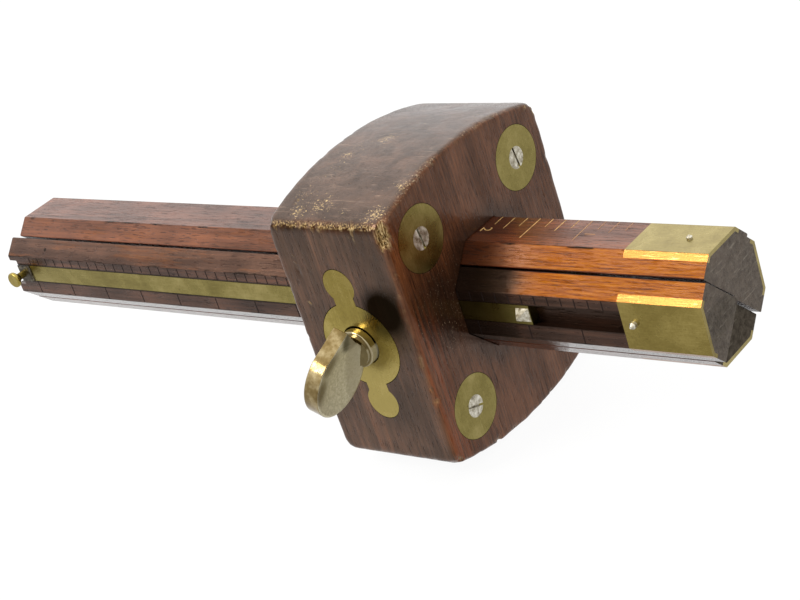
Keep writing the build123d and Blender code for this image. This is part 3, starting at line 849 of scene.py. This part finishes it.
def edge_gap(x, y, z):
    """Distance in mm from the nearest of the head's arrises, and from the long corners alone."""
    across = HEAD_WIDTH / 2 - abs(y)
    crown, _ = arc_point(y / (HEAD_WIDTH / 2), 1)
    up = crown.y - abs(z)
    face = min(-x, HEAD_THICK + x)
    long_corner = hypot(max(across, 0), max(up, 0))
    rim = hypot(max(min(across, up), 0), max(face, 0))
    return min(long_corner, rim), long_corner


def arris_wear(point, at_edge):
    """Every arris is rubbed down and nicked, and the corners are knocked in; gives depth and bareness."""
    x, y, z = point
    depth = at_edge * (0.10 + 0.08 * rough(point, 0.35, 1))
    at_corner = Vector((min(-x, HEAD_THICK + x), HEAD_WIDTH / 2 - abs(y), CORNER_Z - abs(z))).length
    depth += 0.45 * (1 - smooth(0.4, 2.6, at_corner))
    nick = at_edge * smooth(0.42, 0.75, rough(point, 0.55, 4))
    nick *= 1.0 if z < 0 and x > -3 else 0.3
    return depth + 0.45 * nick, 0.3 * nick


def splintered_arris(point, long_corner):
    """The arris between the upper crown and the thumb side is splintered all along."""
    x, _, z = point
    splinter = rough(Vector((x, 0, z * 0.15)), 1.5, 9)
    long_splinter = 1 - smooth(0.3, 1.0, abs(x - SPLINTER_X + 0.12 * (z - CORNER_Z)))
    reach = 0.55 + 0.35 * rough(Vector((x, 0, 0)), 0.45, 7)
    reach += 2.2 * long_splinter + 0.5 * max(splinter, 0)
    along_grain = 0.7 if z < CORNER_Z - 0.6 else 1.0
    chip = 1 - smooth(0.2, reach, long_corner * along_grain)
    ragged = 0.6 + 0.5 * rough(point, 1.1, 2)
    depth = TOP_EDGE_CHIP_DEPTH * chip * ragged * smooth(-0.3, 0.3, splinter)
    return depth, chip * smooth(0.05, 0.6, splinter + 0.7 * rough(point, 2.4, 6))


def lost_corner(point):
    """A large flake is gone from the front end of that arris."""
    offset = point - Vector((0, SIDE_Y, CORNER_Z - 1.4))
    size = CORNER_CHIP_R * (1 + 0.25 * rough(point, 0.8, 5))
    flake = 1 - smooth(0.35 * size, size, Vector((offset.x * 1.5, offset.y, offset.z * 0.62)).length)
    return CORNER_CHIP_DEPTH * flake * (0.75 + 0.3 * rough(point, 1.6, 3)), smooth(0.08, 0.45, flake)


def far_corner_flakes(point, at_edge):
    """Small flakes are off the front end of the far upper arris."""
    offset = (point - Vector((0, HEAD_WIDTH / 2, CORNER_Z))).length
    flake = (1 - smooth(1.2, 5.0, offset)) * smooth(0.0, 0.5, rough(point, 0.9, 12))
    return 0.2 * flake * at_edge, 0.8 * flake * at_edge


def wear_depth(point):
    """How far in mm the wood is worn or chipped away at a point, and how bare it is there, 0 to 1."""
    _, y, z = point
    gap, long_corner = edge_gap(*point)
    at_edge = 1 - smooth(0.2, 1.6, gap)
    wear = [arris_wear(point, at_edge)]
    if y < 0 < z:
        wear += [splintered_arris(point, long_corner), lost_corner(point)]
    if y > 0 and z > 0:
        wear.append(far_corner_flakes(point, at_edge))
    return max(sum(depth for depth, _ in wear), 0), max(bare for _, bare in wear)


def inward(point):
    """Direction from a point on the head's surface towards its sound core."""
    core = 5.0    # mm under the surface
    x = min(max(point.x, core - HEAD_THICK), -core)
    y = min(max(point.y, core - HEAD_WIDTH / 2), HEAD_WIDTH / 2 - core)
    z = min(max(point.z, core - CORNER_Z), CORNER_Z - core)
    return (Vector((x, y, z)) - point).normalized()


def shell_point(point, normal, x, inset):
    """A point of the shell: the outline moved in by the inset, and drawn together past the arris."""
    past = max(inset - HEAD_EDGE, 0)
    y, z = (point - normal * min(inset, HEAD_EDGE)) * (1 - past / (HEAD_WIDTH / 2))
    return Vector((x, y, z))


def head_shell():
    """The head's outside with its wear, as a closed mesh in metres with "bare" and "rubbed" attributes."""
    outline, rings = head_outline(), head_rings()
    count = len(outline)
    mesh = bmesh.new()
    bare_layer = mesh.verts.layers.float.new("bare")
    rubbed_layer = mesh.verts.layers.float.new("rubbed")
    grid = []
    for x, inset in rings:
        row = []
        for point, normal in outline:
            place = shell_point(point, normal, x, inset)
            depth, bare = wear_depth(place)
            vert = mesh.verts.new((place + inward(place) * depth) * MM)
            vert[bare_layer] = bare
            gap, _ = edge_gap(*place)
            vert[rubbed_layer] = 1 - smooth(0.2, 1.6, gap + 1.0 * rough(place, 0.2, 20))
            row.append(vert)
        grid.append(row)
    for lower, upper in zip(grid, grid[1:]):
        for i in range(count):
            mesh.faces.new((lower[i], lower[(i + 1) % count], upper[(i + 1) % count], upper[i]))
    mesh.faces.new(list(reversed(grid[0])))
    mesh.faces.new(grid[-1])
    bmesh.ops.remove_doubles(mesh, verts=mesh.verts, dist=0.02 * MM)
    bmesh.ops.recalc_face_normals(mesh, faces=mesh.faces)
    return new_object("head_wood", mesh)


def new_object(name, mesh):
    """Turns a bmesh into an object in the scene."""
    data = bpy.data.meshes.new(name)
    mesh.to_mesh(data)
    mesh.free()
    item = bpy.data.objects.new(name, data)
    bpy.context.scene.collection.objects.link(item)
    return item


def prism(name, section, start, end, place):
    """A closed prism of a 2-D section, placed by a function of (u, v, w) that gives x, y, z in mm."""
    mesh = bmesh.new()
    low = [mesh.verts.new(Vector(place(u, v, start)) * MM) for u, v in section]
    high = [mesh.verts.new(Vector(place(u, v, end)) * MM) for u, v in section]
    mesh.faces.new(low)
    mesh.faces.new(list(reversed(high)))
    for i in range(len(section)):
        j = (i + 1) % len(section)
        mesh.faces.new((low[i], high[i], high[j], low[j]))
    bmesh.ops.recalc_face_normals(mesh, faces=mesh.faces)
    return new_object(name, mesh)


def circle(radius, steps, u0, v0):
    """Points (u, v) round a circle."""
    angles = [2 * pi * i / steps for i in range(steps)]
    return [(u0 + radius * cos(a), v0 + radius * sin(a)) for a in angles]


def along_x(u, v, w):
    """Puts a section square to the stem."""
    return (w, u, v)


def along_y(u, v, w):
    """Puts a section square to the thumb screw."""
    return (u, w, v)


def arc(radius, start, end, v0=0.0, steps=40):
    """Points (u, v) along an arc round (0, v0), from one angle to another."""
    angles = [start + (end - start) * i / steps for i in range(steps + 1)]
    return [(radius * cos(a), v0 + radius * sin(a)) for a in angles]


def escutcheon_section():
    """The escutcheon's outline: a round plate, a narrow waist above and below, and a lobe on each."""
    half = WAIST / 2
    waist_on_disc = atan2(half, sqrt(ESCUTCHEON_R ** 2 - half ** 2))
    waist_on_lobe = atan2(half, sqrt(LOBE_R ** 2 - half ** 2))
    points = []
    for base, lobe_v in ((0, LOBE_Z), (pi, -LOBE_Z)):
        points += arc(ESCUTCHEON_R, base - pi / 2 + waist_on_disc, base + pi / 2 - waist_on_disc)
        points += arc(LOBE_R, base - pi / 2 + waist_on_lobe, base + 3 * pi / 2 - waist_on_lobe, lobe_v)
    points = [(u * (1 + FIT_GAP / hypot(u, v)), v * (1 + FIT_GAP / hypot(u, v))) for u, v in points]
    tilt = radians(ESCUTCHEON_TILT)
    return [(CLAMP_X + u * cos(tilt) - v * sin(tilt), u * sin(tilt) + v * cos(tilt)) for u, v in points]


def aperture_and_pockets():
    """Cutters for the stem's aperture, and for the wear discs and their screws in the fence face."""
    r = APERTURE_R / cos(radians(22.5))
    octagon = [(r * cos(radians(22.5 + 45 * i)), r * sin(radians(22.5 + 45 * i))) for i in range(8)]
    cutters = [prism("cut_aperture", octagon, -HEAD_THICK - 1, 1, along_x)]
    for y in (-DISC_Y, DISC_Y):
        for z in (-DISC_Z, DISC_Z):
            cutters.append(prism("cut_disc", circle(DISC_R + 0.10, 96, y, z), -DISC_THICK, 1, along_x))
            cutters.append(prism("cut_shank", circle(DISC_SCREW_R, 24, y, z), -DISC_SCREW_LENGTH, 0, along_x))
    return cutters


def clamp_hollows():
    """Cutters for the escutcheon, its pins, the screw and its bush, and the shoe."""
    seat = SIDE_Y + ESCUTCHEON_THICK
    bush = circle(BUSH_R, 64, CLAMP_X, 0)
    screw = circle(SCREW_HOLE_R, 48, CLAMP_X, 0)
    cutters = [
        prism("cut_seat", escutcheon_section(), SIDE_Y - 1, seat, along_y),
        prism("cut_bush", bush, SIDE_Y, seat + BUSH_LENGTH, along_y),
        prism("cut_screw", screw, SIDE_Y, -STEM_R, along_y),
    ]
    shift = LOBE_Z * sin(radians(ESCUTCHEON_TILT))
    for way in (1, -1):
        hole = circle(ESCUTCHEON_PIN_R, 24, CLAMP_X - way * shift, way * LOBE_Z)
        cutters.append(prism("cut_pin", hole, SIDE_Y, SIDE_Y + ESCUTCHEON_PIN_LENGTH, along_y))
    low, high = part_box("pressure_shoe")
    u0, u1 = low.x / MM - SHOE_SIDE_FIT, high.x / MM + SHOE_SIDE_FIT
    v1 = high.z / MM + SHOE_SIDE_FIT
    recess = [(u0, -v1), (u1, -v1), (u1, v1), (u0, v1)]
    cutters.append(prism("cut_shoe", recess, low.y / MM - SHOE_ROOM, -STEM_R + 1, along_y))
    return cutters


def worn_head():
    """The head's wood, cut for its fittings, standing in for the plain CAD block."""
    head = head_shell()
    for cutter in aperture_and_pockets() + clamp_hollows():
        modifier = head.modifiers.new("cut", "BOOLEAN")
        modifier.operation = "DIFFERENCE"
        modifier.solver = "EXACT"
        modifier.object = cutter
        graph = bpy.context.evaluated_depsgraph_get()
        cut = bpy.data.meshes.new_from_object(head.evaluated_get(graph))
        head.modifiers.clear()
        head.data = cut
        bpy.data.objects.remove(cutter)
    for polygon in head.data.polygons:
        polygon.use_smooth = True
    head.data.set_sharp_from_angle(angle=radians(38))
    head.data.materials.clear()
    head.data.materials.append(head_rosewood())
    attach(head, "head")
    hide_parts("head_block")
    return head


# ---------------------------------------------------------------- engraved rules

def add_tick(mesh, x, y0, y1, bar, width):
    """One cut line across a bar's facet, from y0 to y1 with the facet up, as a sliver of a box."""
    spin = Matrix.Rotation(radians(BAR_TURNS[bar]), 3, "X")
    z0, z1 = STEM_R - TICK_DEPTH, STEM_R + TICK_LIFT
    corners = []
    for z in (z0, z1):
        for dx, y in ((-0.5, y0), (0.5, y0), (0.5, y1), (-0.5, y1)):
            corners.append(mesh.verts.new(spin @ Vector((x + dx * width, y, z)) * MM))
    a, b, c, d, e, f, g, h = corners
    for face in ((d, c, b, a), (e, f, g, h), (a, b, f, e), (b, c, g, f), (c, d, h, g), (d, a, e, h)):
        mesh.faces.new(face)


def tick_length(n, lengths):
    """Length of the nth eighth: longest at inches, then halves, quarters and eighths."""
    for step, length in zip((8, 4, 2, 1), lengths):
        if n % step == 0:
            return length
    return 0


def add_rule(bar, first, last_x, start_y, lengths, colour, step=INCH / 8, width=TICK_WIDTH):
    """A row of cut lines down a bar's wood, counted back from a zero; they run towards its middle."""
    mesh = bmesh.new()
    plate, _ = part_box(bar + "_wear_plate")
    n = 1 + int((first - plate.x / MM + TICK_CLEAR) / step)
    while first - n * step > last_x:
        x = first - n * step
        length = tick_length(n, lengths)
        wander = 0.25 * rough(Vector((x, 0, 0)), 1.7, 31)
        way = -1 if start_y > 0 else 1
        add_tick(mesh, x, start_y, start_y + (length + wander) * way, bar, width)
        n += 1
    rule = new_object(bar + "_rule", mesh)
    rule.data.materials.append(colour)
    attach(rule, bar + "_stem")
    return rule


def add_numeral(bar, text, x, y, colour):
    """A numeral laid on a bar's facet, its head towards the scribing end."""
    curve = bpy.data.curves.new("numeral", "FONT")
    curve.body = text
    curve.size = NUMERAL_SIZE * MM
    curve.extrude = NUMERAL_THICK * MM
    curve.align_x = "CENTER"
    curve.align_y = "CENTER"
    words = bpy.data.objects.new("numeral", curve)
    bpy.context.scene.collection.objects.link(words)
    graph = bpy.context.evaluated_depsgraph_get()
    data = bpy.data.meshes.new_from_object(words.evaluated_get(graph))
    bpy.data.objects.remove(words)
    numeral = bpy.data.objects.new(f"{bar}_numeral_{text}", data)
    bpy.context.scene.collection.objects.link(numeral)
    spin = Matrix.Rotation(radians(BAR_TURNS[bar]), 4, "X")
    lay = Matrix.Translation(Vector((x, y, STEM_R)) * MM) @ Matrix.Rotation(radians(-90), 4, "Z")
    data.transform(spin @ lay)
    data.materials.clear()
    data.materials.append(colour)
    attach(numeral, bar + "_stem")


def add_rules():
    """Inch rules on all four bars, in eighths; the near bar also has a row of half inches."""
    pale = engraving("engraving_pale", (0.42, 0.26, 0.10), (0.20, 0.105, 0.065))
    dirt = engraving("engraving_dirt", (0.008, 0.004, 0.003), (0.008, 0.004, 0.003))
    past, across = NUMERAL_PLACE
    for bar in ("top", "rear", "bottom"):
        add_rule(bar, RULE_ZERO, RULE_END, RULE_EDGE, RULE_LINES, pale)
        for inch in (1, 2, 3):
            add_numeral(bar, str(inch), RULE_ZERO - inch * INCH + past, across, pale)
    low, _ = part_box("near_bar")
    tail = low.x / MM + TAIL_CLEAR
    add_rule("near", MORTISE_ZERO, tail, RULE_EDGE, SHORT_LINES, dirt, INCH / 8, DIRT_TICK_WIDTH)
    add_rule("near", MORTISE_ZERO, tail, -RULE_EDGE, SLIDE_LINES, dirt, INCH / 2, DIRT_TICK_WIDTH)


# ---------------------------------------------------------------- the scene

finish_nodes()
worn_head()
add_rules()
add_camera()
add_world()
add_floor()
add_area_light("key", (-0.35, -0.60, 0.75), distance=0.9, size=0.30, power=7.0, colour=(1.0, 0.97, 0.93))
bpy.context.scene.view_settings.view_transform = "Standard"
